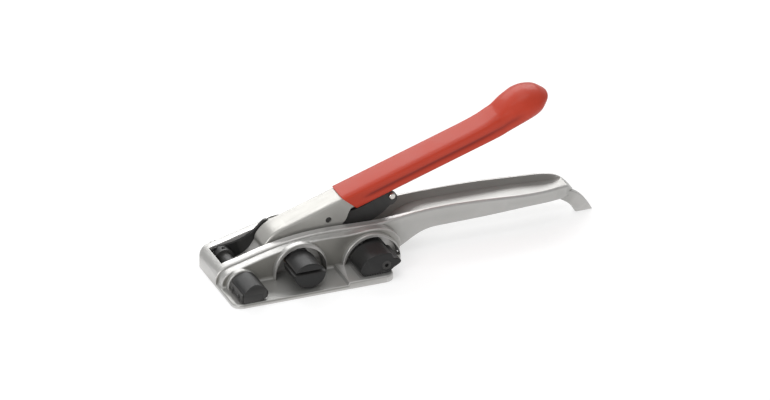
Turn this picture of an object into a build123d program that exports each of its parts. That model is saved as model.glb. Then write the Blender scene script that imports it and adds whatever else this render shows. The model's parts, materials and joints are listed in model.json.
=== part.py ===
"""Open-sided strapping tensioner: cast frame with windlass, cutter, gripper and ratchet lever.

Drawn in millimetres: X = 0 on the windlass axis, +X towards the handles. Y = 0 in the
middle plane of the lever, and -Y is the open side that takes the strap. Z = 0 on the
underside of the base plate. At export everything moves BASE_MIDDLE along +Y, so that the
origin lies on the solid underside, below the windlass axis.
"""
from build123d import *
from math import cos, radians, sin
import os

# --- driving dimensions ------------------------------------------------------------------
# cast frame
NOSE_X = -57.0            # front edge of the base
LEDGE_REAR_X = 61.0       # rear edge of the strap ledge
LEDGE_NEAR_Y = -54.0      # open edge of the strap ledge
LEDGE_TOP = 2.8           # strap ledge in front of the gripper
ANVIL_TOP = 4.8           # raised part of the ledge under the gripper
ANVIL_FRONT_X = 27.0
WALL_NEAR_OUT = -18.0     # near wall, outer face
WALL_NEAR_IN = -11.5      # near wall, face in the cavity
WALL_FAR_IN = 12.5        # far wall, face in the cavity
WALL_FAR_OUT = 19.5       # far wall, outer face
PAD_OUT = -25.0           # face of the raised pad on the near wall
LIP_OUT = -28.5           # face of the arch lips
FLOOR_TOP = 2.6           # cavity floor
BRIDGE_IN_X = -50.5       # back face of the front bridge
HANDLE_HALF = 15.0        # half width of the trough handle
HANDLE_WALL = 2.6
HOOK_Y = (-6.0, -1.2)     # flat end hook
HOOK_ROUND = 0.7
HOOK_TIP_X = 225.0
# (x, z) of the wall rim from nose to the rounded end of the trough
RIM = [(-51, 13.5), (-42, 16), (-30, 19.3), (-8, 24.3), (5, 26), (18, 26.8), (42, 26.4),
       (65, 25.8), (85, 27.3), (110, 27.9), (150, 26.9), (183, 24.7), (199, 23.3), (207, 20.9)]
RIM_END = (216.5, 9.5)
NOSE_TOP = 8.0
PAD_DROP = 1.2            # the pad stops this far below the rim
LEDGE_CORNER = 7.0
LEDGE_ROUND = 1.2
RAMP = 1.0                # length of the slope up to the anvil seat
RIM_ROUND = 1.6           # casting rounds
PAD_ROUND = 0.95
LIP_ROUND = 1.0
COVE_ROUND = 2.2
POCKET_ROUND = 1.5
FLOOR_WINDOW = (-19.5, 26, -10.5, 11.5)   # opening under the ratchet: x limits, y limits

# arches in the near pad: centre x, centre z, recess radius, y of the recess face
ARCHES = [(-41.0, 3.0, 10.2, -19.0), (1.5, 5.5, 18.6, -19.0), (54.0, 1.5, 20.6, -21.5)]
# crescent lips, one to each arch, set up and forward so that they thin out at their ends
LIPS = [(-41.4, 3.9, 10.9), (1.2, 7.4, 19.5), (53.4, 3.0, 21.3)]

# turning axes, (x, z)
WINDLASS_AXIS = (0.0, 15.5)
CUTTER_AXIS = (-42.0, 8.0)
GRIPPER_AXIS = (56.0, 10.5)
HOLDING_AXIS = (19.8, 9.5)

# windlass and ratchet
PRONG_R = 11.6            # strap end of the windlass
PRONG_NEAR_Y = -50.0
PRONG_FLAT = -0.5         # top of the lower prong, from the axis
SLOT = 2.0                # strap slot
CAP_HALF = 10.2           # half width of the upper prong
CAP_TOP = 7.0
NECK_R = 8.2              # round neck that turns under the lip of its arch
NECK_Y = (-28.9, -19.3)
RING_Y = (21.0, 22.0)
KEY = (2.0, 1.2)          # key half width and depth into the journal
SPACER_R = 9.0
THRUST_R = 8.4
WASHER_R = 10.5
JOURNAL_R = 6.8
RUN = 0.05                # radial clearance of a running fit
BUSH_R = 8.6
JOURNAL_FAR_Y = 23.0
TEETH = 12
TOOTH_R = 13.0
ROOT_R = 10.4
RATCHET_HALF = 4.5

# lever: s runs along it from the windlass axis, t is square to it
LEVER_ANGLE = 18.3
LEVER_HALF = 9.5
LEVER_WALL = 2.0
LEVER_IN = LEVER_HALF - LEVER_WALL
LEVER_BEND = 1.6
LEVER_TOP_T = 16.0
PAWL_PIN = (32.3, 5.6)    # (s, t)
PAWL_PIN_R = 2.2
GRIP_FRONT_S = 46.0
GRIP_TIP_S = 207.3

PIN_R = 2.0
PIN_SUNK = 1.2            # the drive pawl pin's ends lie this far inside the flanges
PAWL_Y = (0.4, 4.2)       # the two pawls share the wheel's width, one each side of Y = 0
ARM_Y = (-7.2, -4.4)      # thumb arm
KNOB = (79.8, -0.9)       # (s, t)
KNOB_R = 2.4
KNOB_STEM_R = 1.6
PIN_NEAR_Y = -18.5
HOLD_LIFT = 10.0          # degrees from engaged to lifted
DRIVE_LIFT = 8.0
TOOTH_FACE = -43.5        # angle of one steep tooth face

# cutter and gripper on the strap ledge
CUTTER_R = 5.1
GRIPPER_R = 5.0
GRIPPER_OPEN = 18.0       # degrees the gripper lifts off the strap
HEAD_BACK_Y = -28.8       # cutter block and gripper cam start just clear of the lips
CUTTER_NEAR_Y = -53.0
HEAD_FRONT_X = -50.0
GRIPPER_NEAR_Y = -50.0
PLATE_DEEP = 1.6          # hardened plates let into the ledge
# x limits, y limits, top
CUTTER_PLATE = (-54.5, -45.0, -50.0, -30.0, LEDGE_TOP)
GRIPPER_PLATE = (36.0, 58.0, -50.0, -30.0, ANVIL_TOP)
PLATE_SCREW_R = 1.5
PLATE_SCREW_IN = 3.5      # screws in from the plate's ends
CUTTER_ARM_Y = (10.2, 12.2)
CUTTER_PIN_R = 1.4
CUTTER_END_Y = 21.6       # far end of the cutter shaft
CUTTER_RING_Y = (20.0, 20.9)
GRIPPER_END_Y = 4.0       # far end of the gripper shaft
GRIPPER_RING_Y = (2.2, 3.1)
GRIPPER_SCREW_R = 2.0
GRIPPER_SCREW_HEAD_R = 3.4
CLIP_WIDE = 2.0           # retaining rings stand this far out of their shafts
CLIP_GROOVE = 0.8         # and reach this far in
CLIP_GAP = 2.8

# the origin moves to the middle of the base
BASE_MIDDLE = -(LEDGE_NEAR_Y + WALL_FAR_OUT) / 2
parts = {}


# --- helpers -----------------------------------------------------------------------------
def prism(face, y_a, y_b):
    """A face drawn in (x, z) made solid between two y values."""
    low, high = min(y_a, y_b), max(y_a, y_b)
    plane = Plane(origin=(0, high, 0), x_dir=(1, 0, 0), z_dir=(0, -1, 0))
    return extrude(plane * face, high - low)


def disc(x, z, radius, y_a, y_b):
    """A round bar along Y."""
    return prism(Pos(x, z) * Circle(radius), y_a, y_b)


def ring(x, z, outer, inner, y_a, y_b):
    """A plain bush or washer on an axis along Y."""
    return prism(Pos(x, z) * (Circle(outer) - Circle(inner)), y_a, y_b)


def retaining_ring(x, z, shaft_r, y_a, y_b):
    """Snap ring with a gap below, seated in a groove of a shaft along Y."""
    gap = Pos(x, z - shaft_r) * Rectangle(CLIP_GAP, 2.5 * CLIP_WIDE)
    flat = Circle(shaft_r + CLIP_WIDE) - Circle(shaft_r - CLIP_GROOVE)
    return prism(Pos(x, z) * flat - gap, y_a, y_b)


def ring_groove(x, z, shaft_r, y_a, y_b):
    """The metal that a retaining ring's groove takes off its shaft."""
    return ring(x, z, shaft_r + 1, shaft_r - CLIP_GROOVE, y_a, y_b)


def block(x_a, x_b, y_a, y_b, z_a, z_b):
    """A square-edged block given by its limits."""
    return Pos((x_a + x_b) / 2, (y_a + y_b) / 2, (z_a + z_b) / 2) * Box(
        abs(x_b - x_a), abs(y_b - y_a), abs(z_b - z_a))


def plan(face, z_a, z_b):
    """A face drawn in (x, y) made solid between two heights."""
    return extrude(Pos(0, 0, z_a) * face, z_b - z_a)


def on_lever(solid):
    """Moves a solid drawn in the lever's own (s, t) frame to its place at rest."""
    return Pos(WINDLASS_AXIS[0], 0, WINDLASS_AXIS[1]) * Rot(0, -LEVER_ANGLE, 0) * solid


def polar(radius, angle):
    """(x, z) of a point round an axis, angle in degrees from +X towards +Z."""
    return (radius * cos(radians(angle)), radius * sin(radians(angle)))


# --- cast frame --------------------------------------------------------------------------
def side_outline():
    """Outer side view of walls and handle."""
    top = Spline([(NOSE_X, NOSE_TOP)] + RIM + [(213, 15.0), RIM_END])
    under = Spline([(216, 8), (210, 11.5), (203, 13.2), (193, 14.4), (176, 15.6), (150, 14.8),
                    (112, 13.4), (97, 12.2), (84, 6.5), (70, 0)])
    lines = [top, Line(RIM_END, (216, 8)), under, Line((70, 0), (NOSE_X, 0)),
             Line((NOSE_X, 0), (NOSE_X, NOSE_TOP))]
    return make_face(lines)


def plan_outline():
    """Outer plan view of walls and handle."""
    far = Spline([(60, WALL_FAR_OUT), (80, 17), (100, HANDLE_HALF), (140, HANDLE_HALF + 0.4),
                  (180, HANDLE_HALF + 0.3), (198, 14.4)], tangents=[(1, -0.12), (1, -0.2)])
    end = Spline([(198, 14.4), (207, 11.3), (212.4, 5), (212, -1.6), (206, -7), (196, -11.4)],
                 tangents=[(1, -0.2), (-1, -0.35)])
    near = Spline([(196, -11.4), (180, -HANDLE_HALF), (140, -HANDLE_HALF - 0.4),
                   (100, -HANDLE_HALF), (80, -16.6), (60, WALL_NEAR_OUT)],
                  tangents=[(-1, -0.35), (-1, -0.08)])
    corner = 7.0
    lines = [far, end, near,
             Line((60, WALL_NEAR_OUT), (NOSE_X, WALL_NEAR_OUT)),
             Line((NOSE_X, WALL_NEAR_OUT), (NOSE_X, WALL_FAR_OUT - corner)),
             RadiusArc((NOSE_X, WALL_FAR_OUT - corner), (NOSE_X + corner, WALL_FAR_OUT), corner),
             Line((NOSE_X + corner, WALL_FAR_OUT), (60, WALL_FAR_OUT))]
    return make_face(lines)


def trough():
    """The hollow between the walls, open above, from the bridge to the handle's end."""
    side = make_face([
        Polyline((BRIDGE_IN_X, 60), (BRIDGE_IN_X, FLOOR_TOP), (66, FLOOR_TOP)),
        Spline([(66, FLOOR_TOP), (76, 9), (86, 16.6), (98, 20.6), (114, 21.4), (150, 20.8),
                (182, 19.4), (198, 18.6), (206, 20.4), (211, 26)]),
        Polyline((211, 26), (211, 60), (BRIDGE_IN_X, 60))])
    inner = HANDLE_HALF - HANDLE_WALL
    grip = Spline([(62, WALL_FAR_IN), (100, inner), (140, inner + 0.4), (185, inner + 0.2),
                   (200, 11.4), (207.5, 7.5), (210.2, 2), (208.4, -2.4), (203, -5.9),
                   (195, -9.3), (181, -inner), (140, -inner - 0.4), (100, -inner),
                   (62, WALL_NEAR_IN)])
    flat = make_face([grip, Polyline((62, WALL_NEAR_IN), (BRIDGE_IN_X, WALL_NEAR_IN),
                                     (BRIDGE_IN_X, WALL_FAR_IN), (62, WALL_FAR_IN))])
    return prism(side, -30, 30) & plan(flat, -5, 65)


def hook():
    """Flat hook that drops from the end of the trough to the floor."""
    side = make_face([
        Spline([(198, 17.6), (205, 17.4), (211, 16.0), (217, 11.9), (221.4, 6.4),
                (HOOK_TIP_X, 0)]),
        Line((HOOK_TIP_X, 0), (212.6, 0)),
        Spline([(212.6, 0), (211, 2.8), (207.8, 7.0), (202, 11.2), (198, 14.4)]),
        Line((198, 14.4), (198, 17.6))])
    plate = prism(side, *HOOK_Y)
    outer = [e for e in plate.edges() if e.geom_type != GeomType.LINE]
    return fillet(outer, HOOK_ROUND)


def pad_outline():
    """Side view of the raised pad on the near wall."""
    top = Spline([(-55.5, 3), (-52.5, 11)] + [(x, z - PAD_DROP) for x, z in RIM[1:8]]
                 + [(66, 24.2), (75.5, 15), (73.5, 4), (69, 0)])
    return make_face([top, Line((69, 0), (-55.5, 0)), Line((-55.5, 0), (-55.5, 3))])


def ledge():
    """Strap ledge with its raised anvil seat."""
    flat = Pos((NOSE_X + LEDGE_REAR_X) / 2, (LEDGE_NEAR_Y + WALL_NEAR_IN) / 2) * Rectangle(
        LEDGE_REAR_X - NOSE_X, WALL_NEAR_IN - LEDGE_NEAR_Y)
    base = plan(flat, 0, LEDGE_TOP)
    near_corners = base.edges().filter_by(Axis.Z).group_by(Axis.Y)[0]
    base = fillet(near_corners, LEDGE_CORNER)
    foot = ANVIL_FRONT_X - RAMP
    seat_side = make_face(Polyline((foot, 0), (foot, LEDGE_TOP), (ANVIL_FRONT_X, ANVIL_TOP),
                                   (LEDGE_REAR_X, ANVIL_TOP), (LEDGE_REAR_X, 0), close=True))
    seat = prism(seat_side, LEDGE_NEAR_Y, WALL_NEAR_OUT)
    rear_corner = seat.edges().filter_by(Axis.Z).group_by(Axis.Y)[0].sort_by(Axis.X)[-1]
    seat = fillet(rear_corner, LEDGE_CORNER)
    body = base + seat
    rim_edges = [e for e in body.edges() if e.center().Z > LEDGE_TOP - 0.1
                 and e.center().Y < LEDGE_NEAR_Y + 3]
    return fillet(rim_edges, LEDGE_ROUND)


def walls_and_handle():
    """Walls and trough handle, with the outer rim rounded as cast, and the end hook."""
    body = prism(side_outline(), -30, 30) & plan(plan_outline(), -5, 65)
    rim = [e for e in body.edges() if e.center().Z > NOSE_TOP + 1 and e.length > 5
           and e.geom_type != GeomType.LINE]
    return fillet(rim, RIM_ROUND) + hook() - trough()


def face_edges(solid, y):
    """The edges that lie in one upright face of a solid, above the base."""
    return [e for e in solid.edges() if abs(e.center().Y - y) < 0.01 and e.center().Z > 1]


def pad_and_lips():
    """Raised pad on the near wall, and the crescent lips of its three arches."""
    pad = prism(pad_outline(), WALL_NEAR_OUT, PAD_OUT)
    pad = fillet(face_edges(pad, PAD_OUT), PAD_ROUND)
    for x, z, outer in LIPS:
        lip = disc(x, z, outer, PAD_OUT + 1, LIP_OUT)
        lip = fillet(face_edges(lip, LIP_OUT), LIP_ROUND)
        pad = pad + (lip & block(x - outer, x + outer, LIP_OUT, PAD_OUT + 1, 1, 60))
    return pad


def arch_recesses():
    """The round pockets under the lips, with a soft inner corner."""
    pockets = Part()
    for x, z, inner, face_y in ARCHES:
        floor = LEDGE_TOP if x < ANVIL_FRONT_X else ANVIL_TOP
        pocket = disc(x, z, inner, LIP_OUT - 1, face_y)
        inner_corner = [e for e in pocket.edges() if abs(e.center().Y - face_y) < 0.01]
        pocket = fillet(inner_corner, POCKET_ROUND)
        pockets = pockets + (pocket & block(x - inner, x + inner, LIP_OUT - 1, face_y, floor, 60))
    return pockets


def frame_casting():
    """The one-piece casting: base, walls, pad, arches and trough handle."""
    body = walls_and_handle() + pad_and_lips() + ledge()
    cove = [e for e in body.edges() if abs(e.center().Y - PAD_OUT) < 0.01
            and abs(e.center().Z - LEDGE_TOP) < 0.01]
    body = fillet(cove, COVE_ROUND) - arch_recesses()
    body = body - disc(*CUTTER_AXIS, CUTTER_R + RUN, -40, 40)
    body = body - disc(*WINDLASS_AXIS, BUSH_R, -40, 40)
    body = body - disc(*GRIPPER_AXIS, GRIPPER_R + RUN, -40, 0)
    body = body - disc(*HOLDING_AXIS, PIN_R, PIN_NEAR_Y, 0)
    body = body - block(*FLOOR_WINDOW, -5, FLOOR_TOP + 1)
    for x_a, x_b, y_a, y_b, top in (CUTTER_PLATE, GRIPPER_PLATE):
        body = body - block(x_a, x_b, y_a, y_b, top - PLATE_DEEP, top + 1)
    return body


parts["frame"] = frame_casting()


def ledge_plate(x_a, x_b, y_a, y_b, top):
    """Hardened plate let flush into the ledge, with two screw holes."""
    plate = block(x_a, x_b, y_a, y_b, top - PLATE_DEEP, top)
    for y in (y_a + PLATE_SCREW_IN, y_b - PLATE_SCREW_IN):
        middle = Pos((x_a + x_b) / 2, y, top - PLATE_DEEP / 2)
        plate = plate - middle * Cylinder(PLATE_SCREW_R, 2 * PLATE_DEEP)
    return plate


def ledge_screws(x_a, x_b, y_a, y_b, top):
    """The two slotted screws of a ledge plate, heads flush."""
    screws = []
    sunk = 0.1
    for y in (y_a + PLATE_SCREW_IN, y_b - PLATE_SCREW_IN):
        middle = Pos((x_a + x_b) / 2, y, top - (PLATE_DEEP + sunk) / 2)
        head = middle * Cylinder(PLATE_SCREW_R, PLATE_DEEP - sunk)
        slot = Pos((x_a + x_b) / 2, y, top - sunk) * Box(0.5, 3 * PLATE_SCREW_R, 0.7)
        screws.append(head - slot)
    return Part() + screws


parts["cutter_anvil"] = ledge_plate(*CUTTER_PLATE)
parts["cutter_anvil_screws"] = ledge_screws(*CUTTER_PLATE)
parts["gripper_anvil"] = ledge_plate(*GRIPPER_PLATE)
parts["gripper_anvil_screws"] = ledge_screws(*GRIPPER_PLATE)

# --- windlass, running across the frame in two bushes -------------------------------------
AX, AZ = WINDLASS_AXIS
parts["windlass_bush_near"] = ring(AX, AZ, BUSH_R, JOURNAL_R + RUN, ARCHES[1][3], WALL_NEAR_IN)
parts["windlass_bush_far"] = ring(AX, AZ, BUSH_R, JOURNAL_R + RUN, WALL_FAR_IN, WALL_FAR_OUT)

def windlass_shaft():
    """Journal, neck and the two strap prongs turned and milled from one bar."""
    journal = disc(AX, AZ, JOURNAL_R, NECK_Y[1], JOURNAL_FAR_Y)
    journal = journal - ring_groove(AX, AZ, JOURNAL_R, *RING_Y)
    journal = journal - block(AX - KEY[0], AX + KEY[0], -RATCHET_HALF, RATCHET_HALF,
                              AZ + JOURNAL_R - KEY[1], AZ + JOURNAL_R + 1)
    journal = chamfer(journal.faces().sort_by(Axis.Y)[-1].edges(), 0.8)
    neck = disc(AX, AZ, NECK_R, *NECK_Y)
    lower = Pos(AX, AZ) * (Circle(PRONG_R) - Pos(0, PRONG_FLAT + PRONG_R) * Rectangle(
        2 * PRONG_R, 2 * PRONG_R))
    lower = prism(lower, PRONG_NEAR_Y, NECK_Y[0])
    low = PRONG_FLAT + SLOT
    cap = make_face([Line((-CAP_HALF, low), (CAP_HALF, low)),
                     ThreePointArc((CAP_HALF, low), (0, CAP_TOP), (-CAP_HALF, low))])
    cap = prism(Pos(AX, AZ) * cap, PRONG_NEAR_Y, NECK_Y[0])
    lower = fillet(lower.faces().sort_by(Axis.Y)[0].edges(), 1.0)
    cap = fillet(cap.faces().sort_by(Axis.Y)[0].edges(), 0.9)
    return journal + neck + lower + cap


def ratchet_wheel():
    """Saw-toothed wheel: each tooth ramps up and drops on its steep face."""
    pitch = 360 / TEETH
    tip_land = 2.5
    points = []
    for tooth in range(TEETH):
        start = TOOTH_FACE + tooth * pitch
        points += [polar(ROOT_R, start), polar(TOOTH_R, start + pitch - tip_land),
                   polar(TOOTH_R, start + pitch)]
    wheel = prism(Pos(AX, AZ) * make_face(Polyline(points, close=True)), -RATCHET_HALF, RATCHET_HALF)
    wheel = wheel - disc(AX, AZ, JOURNAL_R, -RATCHET_HALF, RATCHET_HALF)
    return wheel - block(AX - KEY[0], AX + KEY[0], -RATCHET_HALF, RATCHET_HALF,
                         AZ, AZ + JOURNAL_R + KEY[1])


parts["windlass_shaft"] = windlass_shaft()
parts["ratchet_wheel"] = ratchet_wheel()
parts["ratchet_key"] = block(AX - KEY[0], AX + KEY[0], -RATCHET_HALF, RATCHET_HALF,
                             AZ + JOURNAL_R - KEY[1], AZ + JOURNAL_R + KEY[1])
parts["ratchet_spacers"] = Part() + [
    ring(AX, AZ, SPACER_R, JOURNAL_R, sign * (RATCHET_HALF + 0.05), sign * (LEVER_IN - 0.1))
    for sign in (-1, 1)]
parts["thrust_washers"] = Part() + [
    ring(AX, AZ, THRUST_R, JOURNAL_R + RUN, -LEVER_HALF - 0.1, WALL_NEAR_IN),
    ring(AX, AZ, THRUST_R, JOURNAL_R + RUN, LEVER_HALF + 0.1, WALL_FAR_IN)]
parts["windlass_washer"] = ring(AX, AZ, WASHER_R, JOURNAL_R, WALL_FAR_OUT + 0.1, RING_Y[0])
parts["windlass_retaining_ring"] = retaining_ring(AX, AZ, JOURNAL_R, *RING_Y)

# --- holding pawl, on a pin in the near wall ----------------------------------------------
parts["holding_pawl_pin"] = disc(*HOLDING_AXIS, PIN_R, PIN_NEAR_Y, -PAWL_Y[0])


def turned(face, axis, angle):
    """A face in (x, z) turned about a point, positive from +X towards +Z."""
    x, z = axis
    return Pos(x, z) * Rot(0, 0, angle) * Pos(-x, -z) * face


def pawl(axis, hub_r, nose, heel, belly):
    """Pawl drawn engaged: hub, nose against a tooth face, straight flanks."""
    outline = make_face(Polyline(nose + [belly, heel], close=True))
    return outline + Pos(*axis) * Circle(hub_r)


def holding_pawl():
    """Blocks the wheel from turning back; lifted at rest."""
    face = TOOTH_FACE - 30
    nose = [(AX + x, AZ + z) for x, z in (
        polar(14.2, face + 1), polar(11.0, face + 1), polar(12.3, face + 14), polar(14.3, face + 27))]
    x, z = HOLDING_AXIS
    outline = pawl(HOLDING_AXIS, 4.2, nose, (x + 2.4, z - 3.4), (x - 2.4, z + 3.4))
    solid = prism(turned(outline, HOLDING_AXIS, HOLD_LIFT), -PAWL_Y[1], -PAWL_Y[0])
    return solid - disc(x, z, PIN_R + RUN, -10, 10)


parts["holding_pawl"] = holding_pawl()

# --- lever --------------------------------------------------------------------------------
def lever_outline(inset):
    """Side view of the channel in (s, t); the inset one is its hollow, open below."""
    top = LEVER_TOP_T - inset
    front = [(4, top), (-5, 15.7 - inset), (-12.3 + 0.6 * inset, 13 - 0.8 * inset),
             (-17 + inset, 8.3 - 0.3 * inset), (-16.8 + inset, 4), (-15.2 + inset, 0)]
    if inset:
        tail = [(190, top), (190, -40), (-13.2, -40), (-15.2 + inset, 0)]
        return make_face([Spline(front), Polyline([(-15.2 + inset, 0)] + tail[::-1][1:]
                                                  + [(4, top)])])
    lobe = ThreePointArc((-15.2, 0), (-6, -11.6), (8, -10.8))
    under = Spline([(8, -10.8), (16, -5.5), (28, -4.2), (38, -2.6), (43.5, -0.4), (47, 3.6),
                    (50.3, 6.2)])
    return make_face([Spline(front), lobe, under,
                      Polyline((50.3, 6.2), (184, 6.2), (184, top), (4, top))])


def lever_channel():
    """Pressed channel that straddles the wheel and runs back inside the grip."""
    shell = prism(lever_outline(0), -LEVER_HALF, LEVER_HALF)
    bends = [e for e in shell.edges() if abs(abs(e.center().Y) - LEVER_HALF) < 0.01
             and e.center().Z > 7 and e.center().X < 200]
    shell = fillet(bends, LEVER_BEND)
    shell = shell - prism(lever_outline(LEVER_WALL), -LEVER_IN, LEVER_IN)
    shell = shell - disc(0, 0, JOURNAL_R + RUN, -20, 20) - disc(*PAWL_PIN, PAWL_PIN_R, -20, 20)
    return on_lever(shell)


def lever_grip():
    """Dipped sleeve over the channel, ending in an upturned bulb."""
    side = make_face([
        Polyline((53.5, 3.7), (48.5, 9), (GRIP_FRONT_S, 17)),
        Line((GRIP_FRONT_S, 17), (160, 17)),
        Spline([(160, 17), (172, 18), (180, 21.8), (188, 26.4), (195.5, 27.6), (203, 24),
                (GRIP_TIP_S, 16), (205.5, 8), (198, 3.6), (185, 2.6), (165, 3.3), (150, 3.6)],
               tangents=[(1, 0), (-1, 0)]),
        Line((150, 3.6), (53.5, 3.7))])
    half = 11.0
    outer = [(150, half), (168, 11.6), (182, 13.6), (194, 15.2), (203, 12)]
    flat = make_face([
        Spline(outer + [(GRIP_TIP_S, 0)] + [(s, -y) for s, y in outer[::-1]],
               tangents=[(1, 0), (-1, 0)]),
        Polyline((150, -half), (GRIP_FRONT_S, -half), (GRIP_FRONT_S, half), (150, half))])
    body = prism(side, -20, 20) & plan(flat, -10, 40)
    hollow = block(GRIP_FRONT_S - 5, 184.2, -LEVER_HALF, LEVER_HALF, 6.2, LEVER_TOP_T)
    return on_lever(body - hollow)


def drive_pawl():
    """Pushes the wheel as the lever comes down; lifted at rest by the thumb arm."""
    face = TOOTH_FACE - LEVER_ANGLE
    nose = [polar(15.6, face + 1), polar(11.0, face + 1), polar(12.3, face + 14), (14.0, -6.0)]
    s, t = PAWL_PIN
    outline = pawl(PAWL_PIN, 5.0, nose, (s + 3.4, t - 3.6), (s - 3.4, t + 3.6))
    solid = prism(turned(outline, PAWL_PIN, DRIVE_LIFT), *PAWL_Y)
    return on_lever(solid - disc(s, t, PAWL_PIN_R + RUN, -20, 20))


def pawl_thumb_arm():
    """Blade under the grip that lifts the drive pawl when it is squeezed."""
    s, t = PAWL_PIN
    outline = make_face([
        Spline([(s - 1, t + 4.6), (42, 4.4), (52, 2.2), (66, 2.2), (78, 2.2)]),
        ThreePointArc((78, 2.2), (83.4, -2.2), (76.5, -7.2)),
        Spline([(76.5, -7.2), (65.5, -11.0), (52, -10.5), (40, -3), (s, t - 4.7)]),
        ThreePointArc((s, t - 4.7), (s - 4.7, t), (s - 1, t + 4.6))])
    blade = prism(outline, *ARM_Y)
    tie = ring(s, t, 3.9, PAWL_PIN_R + RUN, ARM_Y[1], PAWL_Y[0])
    return on_lever(blade - disc(s, t, PAWL_PIN_R + RUN, -20, 20) + tie)


def thumb_knob():
    """Domed stud riveted through the thumb arm."""
    head = disc(*KNOB, KNOB_R, ARM_Y[0] - 2.2, ARM_Y[0])
    stud = head + disc(*KNOB, KNOB_STEM_R, *ARM_Y)
    return on_lever(fillet(stud.edges().group_by(Axis.Y)[0], 1.0))


parts["lever_channel"] = lever_channel()
parts["lever_grip"] = lever_grip()
parts["drive_pawl_pin"] = on_lever(disc(*PAWL_PIN, PAWL_PIN_R, PIN_SUNK - LEVER_HALF,
                                        LEVER_HALF - PIN_SUNK))
parts["drive_pawl"] = drive_pawl()
parts["pawl_thumb_arm"] = pawl_thumb_arm() - on_lever(disc(*KNOB, KNOB_STEM_R, -10, 0))
parts["thumb_knob"] = thumb_knob()

# --- cutter -------------------------------------------------------------------------------
CX, CZ = CUTTER_AXIS


def cutter_block():
    """Round-backed head with a flat front that carries the blade."""
    side = make_face([
        Line((HEAD_FRONT_X, 3.2), (HEAD_FRONT_X, 7.5)),
        Spline([(HEAD_FRONT_X, 7.5), (-47, 12), (-40.8, 13.8), (-34.6, 12.2), (-31, 8), (-32, 5.2)],
               tangents=[(0, 1), (-0.6, -1)]),
        Line((-32, 5.2), (-39, 3.2)), Line((-39, 3.2), (HEAD_FRONT_X, 3.2))])
    head = prism(side, CUTTER_NEAR_Y, HEAD_BACK_Y)
    corner = 5.5
    rear = -30.5
    flat = make_face([
        Polyline((rear - corner, CUTTER_NEAR_Y), (-60, CUTTER_NEAR_Y), (-60, 0), (rear, 0),
                 (rear, CUTTER_NEAR_Y + corner)),
        RadiusArc((rear - corner, CUTTER_NEAR_Y), (rear, CUTTER_NEAR_Y + corner), -corner)])
    crown = make_face([
        Polyline((CUTTER_NEAR_Y + corner, 20), (0, 20), (0, 0), (CUTTER_NEAR_Y, 0),
                 (CUTTER_NEAR_Y, 8.5)),
        ThreePointArc((CUTTER_NEAR_Y, 8.5), (CUTTER_NEAR_Y + 1.7, 12.4),
                      (CUTTER_NEAR_Y + corner, 14)),
        Line((CUTTER_NEAR_Y + corner, 14), (CUTTER_NEAR_Y + corner, 20))])
    head = head & plan(flat, 0, 30) & extrude(Plane.YZ.offset(-60) * crown, 60)
    return head - disc(CX, CZ, CUTTER_R, CUTTER_NEAR_Y + 6, 0)


def cutter_arm():
    """Flat arm beside the far wall that tips the cutter head."""
    outline = make_face([
        Spline([(CX - 5, CZ + 6.5), (-38, 15), (-27, 17.5), (-18, 22.5), (-13.5, 26.8), (-11, 28.8)]),
        Polyline((-11, 28.8), (-9, 29.2), (-8.4, 28.2), (-7.2, 28.4), (-6.6, 26.8), (-9.5, 26)),
        Spline([(-9.5, 26), (-17, 18), (-23, 9.5), (-31, 5.2), (-38, 4.0)]),
        Line((-38, 4.0), (CX - 4, 4.0)),
        ThreePointArc((CX - 4, 4.0), (CX - 7, CZ), (CX - 5, CZ + 6.5))])
    arm = prism(outline, *CUTTER_ARM_Y)
    hub = disc(CX, CZ, 7.0, 4.0, CUTTER_ARM_Y[0]) & block(-60, 0, 0, 20, 3.5, 40)
    return (arm + hub) - disc(CX, CZ, CUTTER_R, 0, 20) - cross_pin(14)


def cross_pin(length):
    """Upright pin that keys the arm to the cutter shaft."""
    return Pos(CX, 7, CZ) * Cylinder(CUTTER_PIN_R, length)


parts["cutter_block"] = cutter_block()
parts["cutter_shaft"] = (disc(CX, CZ, CUTTER_R, CUTTER_NEAR_Y + 6, CUTTER_END_Y)
                         - ring_groove(CX, CZ, CUTTER_R, *CUTTER_RING_Y) - cross_pin(14))
parts["cutter_retaining_ring"] = retaining_ring(CX, CZ, CUTTER_R, *CUTTER_RING_Y)
parts["cutter_arm"] = cutter_arm()
parts["cutter_arm_pin"] = cross_pin(10.2)


def cutter_blade(back):
    """Flat blade across the front of the head, its edge at the bottom."""
    front = back - 1.3
    side = make_face(Polyline((back, 3.0), (back, 9.2), (front, 8.4), (front, 4.0), close=True))
    return prism(side, CUTTER_NEAR_Y + 1, HEAD_BACK_Y - 1)


def blade_screws(back):
    """The two slotted button heads that hold the blade."""
    head = Cylinder(1.5, 0.8) - Pos(0, 0, -0.4) * Box(0.5, 4, 0.6)
    return Part() + [Pos(back - 1.7, y, 6.2) * Rot(0, 90, 0) * head for y in (-46.5, -35.5)]


BLADE_BACK = HEAD_FRONT_X - 0.05
parts["cutter_blade"] = cutter_blade(BLADE_BACK)
parts["cutter_blade_screws"] = blade_screws(BLADE_BACK)

# --- gripper ------------------------------------------------------------------------------
GX, GZ = GRIPPER_AXIS


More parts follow.
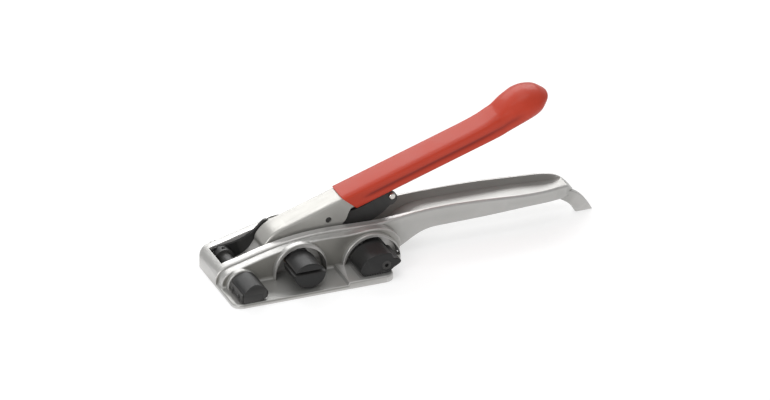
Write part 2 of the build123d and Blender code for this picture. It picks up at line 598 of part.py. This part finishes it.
def gripper_cam():
    """Toothed cam with a thumb lobe; its teeth bear on the plate in the ledge."""
    side = make_face([
        Line((39.2, 5.1), (56, 5.1)),
        Spline([(56, 5.1), (60.3, 7.4), (64, 9.6), (66.5, 12), (64.6, 14.4), (61, 15.4),
                (60.2, 17.8), (54, 19.8), (45, 18.4), (38.6, 13.4), (36.8, 8.4), (39.2, 5.1)],
               tangents=[(1, 0), (1, -1)])])
    cam = prism(side, GRIPPER_NEAR_Y, HEAD_BACK_Y)
    tooth_pitch = 1.8
    for tooth in range(8):
        x = 41 + tooth * tooth_pitch
        notch = make_face(Polyline((x, 5.9), (x + 0.9, 5.0), (x - 0.9, 5.0), close=True))
        cam = cam - prism(notch, GRIPPER_NEAR_Y - 1, HEAD_BACK_Y + 1)
    cam = cam - disc(GX, GZ, GRIPPER_R, GRIPPER_NEAR_Y + 5, 0)
    cam = cam - disc(GX, GZ, GRIPPER_SCREW_R, GRIPPER_NEAR_Y + 3, GRIPPER_NEAR_Y + 6)
    cam = cam - disc(GX, GZ, GRIPPER_SCREW_HEAD_R, GRIPPER_NEAR_Y - 1, GRIPPER_NEAR_Y + 3)
    hub = ring(GX, GZ, 8.5, GRIPPER_R, HEAD_BACK_Y, ARCHES[2][3] - 0.3)
    above_ledge = block(0, 100, -40, 0, ANVIL_TOP + 0.3, 60)
    when_open = Pos(GX, 0, GZ) * Rot(0, -GRIPPER_OPEN, 0) * Pos(-GX, 0, -GZ) * above_ledge
    rim = [e for e in cam.edges() if abs(e.center().Y - GRIPPER_NEAR_Y) < 0.01
           and e.center().Z > 7 and e.length > 3]
    return fillet(rim, 0.7) + (hub & above_ledge & when_open)


def gripper_screw():
    """Socket-head screw that draws the cam onto its shaft."""
    head = disc(GX, GZ, GRIPPER_SCREW_HEAD_R, GRIPPER_NEAR_Y + 0.6, GRIPPER_NEAR_Y + 3)
    socket = prism(Pos(GX, GZ) * RegularPolygon(1.5, 6), GRIPPER_NEAR_Y, GRIPPER_NEAR_Y + 2.2)
    return head - socket + disc(GX, GZ, GRIPPER_SCREW_R, GRIPPER_NEAR_Y + 3, GRIPPER_NEAR_Y + 5)


parts["gripper_cam"] = gripper_cam()
parts["gripper_shaft"] = (disc(GX, GZ, GRIPPER_R, GRIPPER_NEAR_Y + 5, GRIPPER_END_Y)
                          - ring_groove(GX, GZ, GRIPPER_R, *GRIPPER_RING_Y))
parts["gripper_screw"] = gripper_screw()
parts["gripper_retaining_ring"] = retaining_ring(GX, GZ, GRIPPER_R, *GRIPPER_RING_Y)


# --- torsion springs ----------------------------------------------------------------------
def coil(x, z, inner_r, wire, y_a, y_b, turns):
    """Round-wire coil spring on an axis along Y."""
    length = y_b - y_a - wire
    path = Helix(length / turns, length, inner_r + wire / 2)
    spring = sweep(Plane(origin=path @ 0, z_dir=path % 0) * Circle(wire / 2), path=path,
                   is_frenet=True)
    return Pos(x, y_b - wire / 2, z) * Rot(90, 0, 0) * spring


parts["gripper_spring"] = coil(GX, GZ, GRIPPER_R + 0.2, 1.0, -10.5, 1.5, 7)
parts["holding_pawl_spring"] = coil(*HOLDING_AXIS, PIN_R + 0.2, 0.7, -10.8, -5.0, 5)
parts["drive_pawl_spring"] = on_lever(coil(*PAWL_PIN, PAWL_PIN_R + 0.2, 0.6, 4.5, 7.2, 3))

# --- export, with the origin in the middle of the base -------------------------------------
os.makedirs("parts", exist_ok=True)
for name, shape in parts.items():
    export_step(Pos(0, BASE_MIDDLE, 0) * shape, "parts/" + name + ".step")
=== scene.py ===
"""Looks of the strapping tensioner: camera, light, floor, materials and the finer pieces.

Metres, in the frame of the CAD model: +X from nose to handles, +Z up, -Y the open strap side.
"""
import json
import math

import bpy
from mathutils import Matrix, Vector


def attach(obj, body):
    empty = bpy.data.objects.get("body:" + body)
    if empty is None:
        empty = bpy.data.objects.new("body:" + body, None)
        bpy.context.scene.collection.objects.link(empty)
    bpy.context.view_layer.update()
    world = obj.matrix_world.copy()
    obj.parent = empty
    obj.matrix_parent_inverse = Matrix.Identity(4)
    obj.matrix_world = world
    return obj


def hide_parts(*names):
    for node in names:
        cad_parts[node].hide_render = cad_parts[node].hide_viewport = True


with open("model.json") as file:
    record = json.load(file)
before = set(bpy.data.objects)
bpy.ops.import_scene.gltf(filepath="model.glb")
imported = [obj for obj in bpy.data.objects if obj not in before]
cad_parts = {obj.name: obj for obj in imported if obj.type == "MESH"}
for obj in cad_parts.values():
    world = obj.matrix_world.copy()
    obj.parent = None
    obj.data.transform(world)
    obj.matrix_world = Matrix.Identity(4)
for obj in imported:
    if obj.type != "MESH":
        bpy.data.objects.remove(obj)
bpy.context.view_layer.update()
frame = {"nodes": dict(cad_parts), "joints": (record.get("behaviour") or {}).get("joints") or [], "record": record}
NODES = frame["nodes"]
JOINTS = {joint["name"]: joint for joint in frame["joints"]}

MM = 0.001
VIEW_AZIMUTH = math.radians(21.5)      # the camera stands this far round to the nose side
VIEW_ELEVATION = math.radians(28.0)
VIEW_DISTANCE = 12.0                   # far off, so that edges stay nearly parallel
PICTURE_WIDE = 770                     # image points across
POINTS_PER_MM = 1.46                   # image points to a millimetre, at the object
VIEW_WIDTH = PICTURE_WIDE / POINTS_PER_MM * MM
SENSOR = 36.0                          # width of the sensor, millimetres
FLOOR_HALF = 6.0
FLOOR_BELOW = 0.3 * MM                 # the paper lies just under the base
LEVER_ANGLE = math.radians(18.3)       # rise of the lever at rest
SMOOTH_LEVELS = 3                      # subdivisions of a finer piece
WINDLASS = Vector(JOINTS["windlass_spin"]["pos_m"])   # also the lever's pivot
MID_Y = WINDLASS.y                     # middle plane of the lever
VIEW_TARGET = Vector((74.1 * MM, MID_Y, 33.0 * MM))   # the camera looks at this point


# --- camera, light and floor --------------------------------------------------------------
def add_camera():
    """Long lens looking down on the open side from the nose end."""
    back = Vector((-math.sin(VIEW_AZIMUTH) * math.cos(VIEW_ELEVATION),
                   -math.cos(VIEW_AZIMUTH) * math.cos(VIEW_ELEVATION),
                   math.sin(VIEW_ELEVATION)))
    data = bpy.data.cameras.new("camera")
    data.sensor_width = SENSOR
    data.lens = SENSOR * VIEW_DISTANCE / VIEW_WIDTH
    camera = bpy.data.objects.new("camera", data)
    camera.location = VIEW_TARGET + back * VIEW_DISTANCE
    camera.rotation_euler = (-back).to_track_quat("-Z", "Y").to_euler()
    bpy.context.scene.collection.objects.link(camera)
    bpy.context.scene.camera = camera


def add_area_light(name, place, size, power):
    """White soft box aimed at the middle of the object."""
    data = bpy.data.lights.new(name, "AREA")
    data.shape = "RECTANGLE"
    data.size, data.size_y = size
    data.energy = power
    light = bpy.data.objects.new(name, data)
    light.location = VIEW_TARGET + Vector(place)
    light.rotation_euler = (-Vector(place)).to_track_quat("-Z", "Y").to_euler()
    bpy.context.scene.collection.objects.link(light)


def add_studio():
    """White room light, a large box behind, weaker ones above and on the strap side."""
    world = bpy.data.worlds.new("studio")
    world.use_nodes = True
    background = world.node_tree.nodes["Background"]
    background.inputs["Color"].default_value = (1, 1, 1, 1)
    background.inputs["Strength"].default_value = 0.55
    bpy.context.scene.world = world
    add_area_light("back_box", (0.2, 1.05, 0.68), (1.3, 0.5), 8)
    add_area_light("top_box", (-0.1, 0.1, 0.9), (0.7, 0.5), 2)
    add_area_light("front_box", (-0.9, -0.7, 0.5), (0.4, 0.4), 4.5)
    view = bpy.context.scene.view_settings
    view.view_transform = "Standard"
    view.exposure = 0.0


def add_floor():
    """Plain white paper, lit a little from within so that it stays paler than the metal."""
    mesh = bpy.data.meshes.new("floor")
    half = FLOOR_HALF
    mesh.from_pydata([(-half, -half, 0), (half, -half, 0), (half, half, 0), (-half, half, 0)],
                     [], [(0, 1, 2, 3)])
    floor = bpy.data.objects.new("floor", mesh)
    floor.location.z = -FLOOR_BELOW
    bpy.context.scene.collection.objects.link(floor)
    material, nodes, links, shader = new_material("floor_paper")
    grain = noise(nodes, links, 400, 3)
    links.new(mix_colours(nodes, links, grain, (0.50, 0.50, 0.50), (0.52, 0.52, 0.52)),
              shader.inputs["Base Color"])
    shader.inputs["Roughness"].default_value = 0.9
    shader.inputs["Specular IOR Level"].default_value = 0.1
    shader.inputs["Emission Color"].default_value = (1, 1, 1, 1)
    shader.inputs["Emission Strength"].default_value = 0.55
    mesh.materials.append(material)


# --- material helpers ---------------------------------------------------------------------
def new_material(name):
    """An empty node material: (material, nodes, links, principled shader)."""
    material = bpy.data.materials.new(name)
    material.use_nodes = True
    nodes, links = material.node_tree.nodes, material.node_tree.links
    return material, nodes, links, nodes["Principled BSDF"]


def noise(nodes, links, scale, detail=4.0, roughness=0.6, stretch=(1, 1, 1)):
    """Noise on object coordinates; scale is in cycles per metre."""
    place = nodes.new("ShaderNodeTexCoord")
    mapping = nodes.new("ShaderNodeMapping")
    mapping.inputs["Scale"].default_value = stretch
    texture = nodes.new("ShaderNodeTexNoise")
    texture.inputs["Scale"].default_value = scale
    texture.inputs["Detail"].default_value = detail
    texture.inputs["Roughness"].default_value = roughness
    links.new(place.outputs["Object"], mapping.inputs["Vector"])
    links.new(mapping.outputs["Vector"], texture.inputs["Vector"])
    return texture.outputs["Fac"]


def remap(nodes, links, source, low, high, from_low=0.3, from_high=0.7):
    """Value stretched from one range to another."""
    node = nodes.new("ShaderNodeMapRange")
    node.inputs["From Min"].default_value = from_low
    node.inputs["From Max"].default_value = from_high
    node.inputs["To Min"].default_value = low
    node.inputs["To Max"].default_value = high
    links.new(source, node.inputs["Value"])
    return node.outputs["Result"]


def mix_colours(nodes, links, factor, first, second):
    """Colour between two, by a factor; each may be a colour or a node's output."""
    node = nodes.new("ShaderNodeMix")
    node.data_type = "RGBA"
    links.new(factor, node.inputs["Factor"])
    for slot, value in ((6, first), (7, second)):
        if isinstance(value, tuple):
            node.inputs[slot].default_value = (*value, 1)
        else:
            links.new(value, node.inputs[slot])
    return node.outputs[2]


def add_bump(nodes, links, shader, heights, strength, distance):
    """Surface relief; distance is the height of the texture in metres."""
    node = nodes.new("ShaderNodeBump")
    node.inputs["Strength"].default_value = strength
    node.inputs["Distance"].default_value = distance
    links.new(heights, node.inputs["Height"])
    links.new(node.outputs["Normal"], shader.inputs["Normal"])


def edge_mask(nodes, links, low=0.50, high=0.58):
    """1 on outer edges, where handling polishes the metal."""
    geometry = nodes.new("ShaderNodeNewGeometry")
    return remap(nodes, links, geometry.outputs["Pointiness"], 0, 1, low, high)


def pad_shade_mask(nodes, links):
    """1 on the upright face of the near pad, which gets painted shade."""
    place = nodes.new("ShaderNodeTexCoord")
    both = nodes.new("ShaderNodeMath")
    both.operation = "MULTIPLY"
    faces_out = ("Normal", "Y", -0.95, -0.60)
    before_handle = ("Object", "X", 66 * MM, 80 * MM)
    for slot, (output, axis, full, none) in enumerate((faces_out, before_handle)):
        split = nodes.new("ShaderNodeSeparateXYZ")
        links.new(place.outputs[output], split.inputs[0])
        links.new(remap(nodes, links, split.outputs[axis], 1, 0, full, none), both.inputs[slot])
    return both.outputs[0]


def cast_metal():
    """Satin nickel-plated casting: fine grain, cloudy sheen, brighter edges, painted shade on the upright pad
    face.
    """
    material, nodes, links, shader = new_material("cast_nickel")
    cloud = noise(nodes, links, 35, 3)
    grain = noise(nodes, links, 1800, 2)
    bright = mix_colours(nodes, links, cloud, (0.36, 0.358, 0.345), (0.43, 0.427, 0.412))
    # painted shade: a darker copy of the casting colour, laid on the near pad's upright face
    shaded_pad_colour = mix_colours(nodes, links, cloud, (0.235, 0.228, 0.210), (0.285, 0.277, 0.256))
    base = mix_colours(nodes, links, pad_shade_mask(nodes, links), bright, shaded_pad_colour)
    colour = mix_colours(nodes, links, edge_mask(nodes, links), base, (0.60, 0.59, 0.58))
    links.new(colour, shader.inputs["Base Color"])
    shader.inputs["Metallic"].default_value = 0.6
    links.new(remap(nodes, links, cloud, 0.34, 0.44), shader.inputs["Roughness"])
    add_bump(nodes, links, shader, grain, 0.25, 0.00006)
    return material


def lever_metal():
    """Pressed steel with a lengthwise brushed grain under bright plating."""
    material, nodes, links, shader = new_material("plated_steel")
    brushed = noise(nodes, links, 900, 3, 0.7, (0.06, 1, 0.06))
    cloud = noise(nodes, links, 40, 3)
    colour = mix_colours(nodes, links, cloud, (0.39, 0.384, 0.362), (0.46, 0.452, 0.428))
    links.new(colour, shader.inputs["Base Color"])
    shader.inputs["Metallic"].default_value = 0.6
    links.new(remap(nodes, links, brushed, 0.30, 0.45), shader.inputs["Roughness"])
    add_bump(nodes, links, shader, brushed, 0.12, 0.00003)
    return material


def black_steel(name="black_oxide", shade=0.014, roughness=0.46):
    """Black-oxide steel: near black, slightly cloudy, rubbed grey on the edges."""
    material, nodes, links, shader = new_material(name)
    cloud = noise(nodes, links, 90, 4)
    grain = noise(nodes, links, 1400, 2)
    base = mix_colours(nodes, links, cloud, (shade * 0.75,) * 3, (shade * 1.3,) * 3)
    colour = mix_colours(nodes, links, edge_mask(nodes, links, 0.52, 0.62), base,
                         (shade * 3.2, shade * 3.1, shade * 3.0))
    links.new(colour, shader.inputs["Base Color"])
    shader.inputs["Specular IOR Level"].default_value = 0.3
    links.new(remap(nodes, links, cloud, roughness - 0.07, roughness + 0.08),
              shader.inputs["Roughness"])
    add_bump(nodes, links, shader, grain, 0.15, 0.00003)
    return material


def bright_steel(name, tint, roughness):
    """Machined steel, bronze or spring wire with fine turning marks."""
    material, nodes, links, shader = new_material(name)
    marks = noise(nodes, links, 1500, 2, 0.6, (1, 0.2, 1))
    colour = mix_colours(nodes, links, marks, tuple(0.9 * c for c in tint), tint)
    links.new(colour, shader.inputs["Base Color"])
    shader.inputs["Metallic"].default_value = 1.0
    links.new(remap(nodes, links, marks, roughness * 0.85, roughness * 1.2),
              shader.inputs["Roughness"])
    add_bump(nodes, links, shader, marks, 0.08, 0.00002)
    return material


def red_vinyl():
    """Dip-moulded vinyl: red, faintly mottled, painted shade in the finger groove, soft gloss coat."""
    material, nodes, links, shader = new_material("red_vinyl")
    cloud = noise(nodes, links, 60, 3)
    pores = noise(nodes, links, 2200, 2)
    base = mix_colours(nodes, links, cloud, (0.44, 0.038, 0.016), (0.50, 0.046, 0.020))
    # painted shade: darker red laid into the finger groove by the per-point groove weight
    groove = nodes.new("ShaderNodeAttribute")
    groove.attribute_name = "groove"
    colour = mix_colours(nodes, links, groove.outputs["Fac"], base, (0.20, 0.014, 0.008))
    links.new(colour, shader.inputs["Base Color"])
    links.new(remap(nodes, links, cloud, 0.42, 0.52), shader.inputs["Roughness"])
    shader.inputs["Specular IOR Level"].default_value = 0.22
    shader.inputs["Coat Weight"].default_value = 0.12
    shader.inputs["Coat Roughness"].default_value = 0.12
    add_bump(nodes, links, shader, pores, 0.06, 0.00003)
    return material


# --- materials of the carried-over parts --------------------------------------------------
def dress_nodes():
    """Each part gets the finish of its material slot; returns the finishes by slot."""
    cast, lever = cast_metal(), lever_metal()
    black = black_steel()
    dark = black_steel("blued_steel", 0.075, 0.36)
    bright = bright_steel("machined_steel", (0.56, 0.555, 0.545), 0.30)
    bronze = bright_steel("sintered_bronze", (0.45, 0.31, 0.16), 0.42)
    spring = bright_steel("spring_wire", (0.26, 0.26, 0.27), 0.34)
    chrome = bright_steel("polished_chrome", (0.62, 0.60, 0.57), 0.16)
    finish = {"cast_metal": cast, "lever_metal": lever, "black_steel": black,
              "hardened_steel": dark, "bright_steel": bright, "bronze": bronze,
              "spring_steel": spring, "chrome": chrome, "red_grip": red_vinyl()}
    slots = {part["node"]: part["material_slot"] for part in frame["record"]["subparts"]}
    for name, piece in NODES.items():
        material = finish[slots[name]]
        piece.data.materials.clear()
        piece.data.materials.append(material)
    return finish


# --- finer pieces -------------------------------------------------------------------------
def from_lever(s, across, t):
    """A point of the lever's own frame (millimetres along, across and square to it)."""
    return WINDLASS + Vector(((s * math.cos(LEVER_ANGLE) - t * math.sin(LEVER_ANGLE)) * MM,
                              across * MM,
                              (s * math.sin(LEVER_ANGLE) + t * math.cos(LEVER_ANGLE)) * MM))


def between(table, s):
    """Smooth value between the rows (s, value) of a short table."""
    for (s_a, a), (s_b, b) in zip(table, table[1:]):
        if s <= s_b:
            f = max(0.0, (s - s_a) / (s_b - s_a))
            return a + (b - a) * f * f * (3 - 2 * f)
    return table[-1][1]


def mesh_piece(name, vertices, faces, material, body):
    """A smooth subdivided piece that rides on a body."""
    mesh = bpy.data.meshes.new(name)
    mesh.from_pydata(vertices, [], faces)
    mesh.polygons.foreach_set("use_smooth", [True] * len(mesh.polygons))
    mesh.materials.append(material)
    piece = bpy.data.objects.new(name, mesh)
    bpy.context.scene.collection.objects.link(piece)
    smooth = piece.modifiers.new("smooth", "SUBSURF")
    smooth.levels = smooth.render_levels = SMOOTH_LEVELS
    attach(piece, body)
    return piece


# rows (distance along the lever, value), millimetres
GRIP_UNDER = [(46, 3.6), (180, 3.6), (196, 5.0), (203, 9.0), (208, 14)]
GRIP_TOP = [(46, 17.0), (156, 17.0), (168, 19.4), (178, 24.2), (187, 26.4), (195, 25.8),
            (202, 22.8), (208, 16.5)]
GRIP_HALF = [(46, 11.0), (158, 11.0), (170, 12.2), (181, 14.6), (190, 15.6), (198, 14.6),
             (204, 11.0), (208, 4.4)]
ROUND = [(46, 0.0), (158, 0.0), (184, 0.85), (208, 1.0)]      # how far a ring nears an oval
GROOVE_DEEP = 1.1
GROOVE = [(46, 0.0), (54, 0.0), (66, GROOVE_DEEP), (150, GROOVE_DEEP), (176, 0.7), (188, 0.0),
          (208, 0.0)]
GRIP_RINGS = ([46, 46.6, 50, 56] + list(range(64, 161, 12))
              + [165, 169, 173, 178, 183, 187, 191, 195, 199, 202.5, 205.5, 207.4])
FRONT_RAKE = 8.0          # the dipped edge runs this much further back underneath
RAKE_LENGTH = 40.0        # and the slant has died away after this distance
OVAL_WIDE = 1.04          # the bulb's oval is this much wider than its table
MOUTH = 0.86              # the sleeve's open end turns in to this share of its outline
TIP = (0.7, 15.5)         # last point: past the last ring, height
# one side of a ring: share of the half width, share of the height, share of the groove
GRIP_SIDE = [(0.0, 1.0, 0), (0.5, 1.0, 0), (0.86, 0.985, 0), (1.0, 0.90, 0), (1.0, 0.72, 0),
             (1.0, 0.60, 0.15), (1.0, 0.47, 1.0), (1.0, 0.34, 0.15), (1.0, 0.20, 0),
             (0.95, 0.06, 0), (0.78, 0.0, 0), (0.4, 0.0, 0), (0.0, 0.0, 0)]


def grip_section(s):
    """One ring of the grip: rows (across, t, groove share), from the top middle round +Y."""
    low, high = between(GRIP_UNDER, s), between(GRIP_TOP, s)
    half, groove = between(GRIP_HALF, s), between(GROOVE, s)
    oval, steps = between(ROUND, s), len(GRIP_SIDE) - 1
    right = []
    for step, (y, t, cut) in enumerate(GRIP_SIDE):
        turn = math.pi * step / steps
        y += (math.sin(turn) * OVAL_WIDE - y) * oval
        t += (0.5 + 0.5 * math.cos(turn) - t) * oval
        right.append((half * y - groove * cut, low + (high - low) * t, cut * groove / GROOVE_DEEP))
    return right + [(-y, t, cut) for y, t, cut in right[-2:0:-1]]


def vinyl_grip(material):
    """Dipped sleeve: flat top, soft edges, a finger groove each side, upturned bulb."""
    vertices, groove_shade_weights = [], []
    for s in GRIP_RINGS:
        section = grip_section(s)
        top, low = section[0][1], between(GRIP_UNDER, s)
        fade = max(0.0, 1 - (s - GRIP_RINGS[0]) / RAKE_LENGTH)
        for y, t, cut in section:
            groove_shade_weights.append(cut)
            vertices.append(from_lever(s + FRONT_RAKE * fade * (top - t) / (top - low), y, t))
    count = 2 * len(GRIP_SIDE) - 2
    faces = []
    for ring in range(len(GRIP_RINGS) - 1):
        a, b = ring * count, (ring + 1) * count
        for i in range(count):
            j = (i + 1) % count
            faces.append((a + i, b + i, b + j, a + j))
    tip, start = len(vertices), (len(GRIP_RINGS) - 1) * count
    vertices.append(from_lever(GRIP_RINGS[-1] + TIP[0], 0, TIP[1]))
    faces += [(start + i, tip, start + (i + 1) % count) for i in range(count)]
    mouth = len(vertices)
    centre = (vertices[0] + vertices[count // 2]) / 2
    for i in range(count):
        vertices.append(centre + (vertices[i] - centre) * MOUTH)
    faces += [(i, (i + 1) % count, mouth + (i + 1) % count, mouth + i) for i in range(count)]
    grip = mesh_piece("grip_sleeve", vertices, faces, material, "lever")
    groove_shade_weights += [0.0] * (len(vertices) - len(groove_shade_weights))
    # per-point weight of the painted shade in the finger groove
    grip.data.attributes.new("groove", "FLOAT", "POINT").data.foreach_set("value", groove_shade_weights)
    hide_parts("lever_grip")


add_camera()
add_studio()
add_floor()
FINISH = dress_nodes()
vinyl_grip(FINISH["red_grip"])
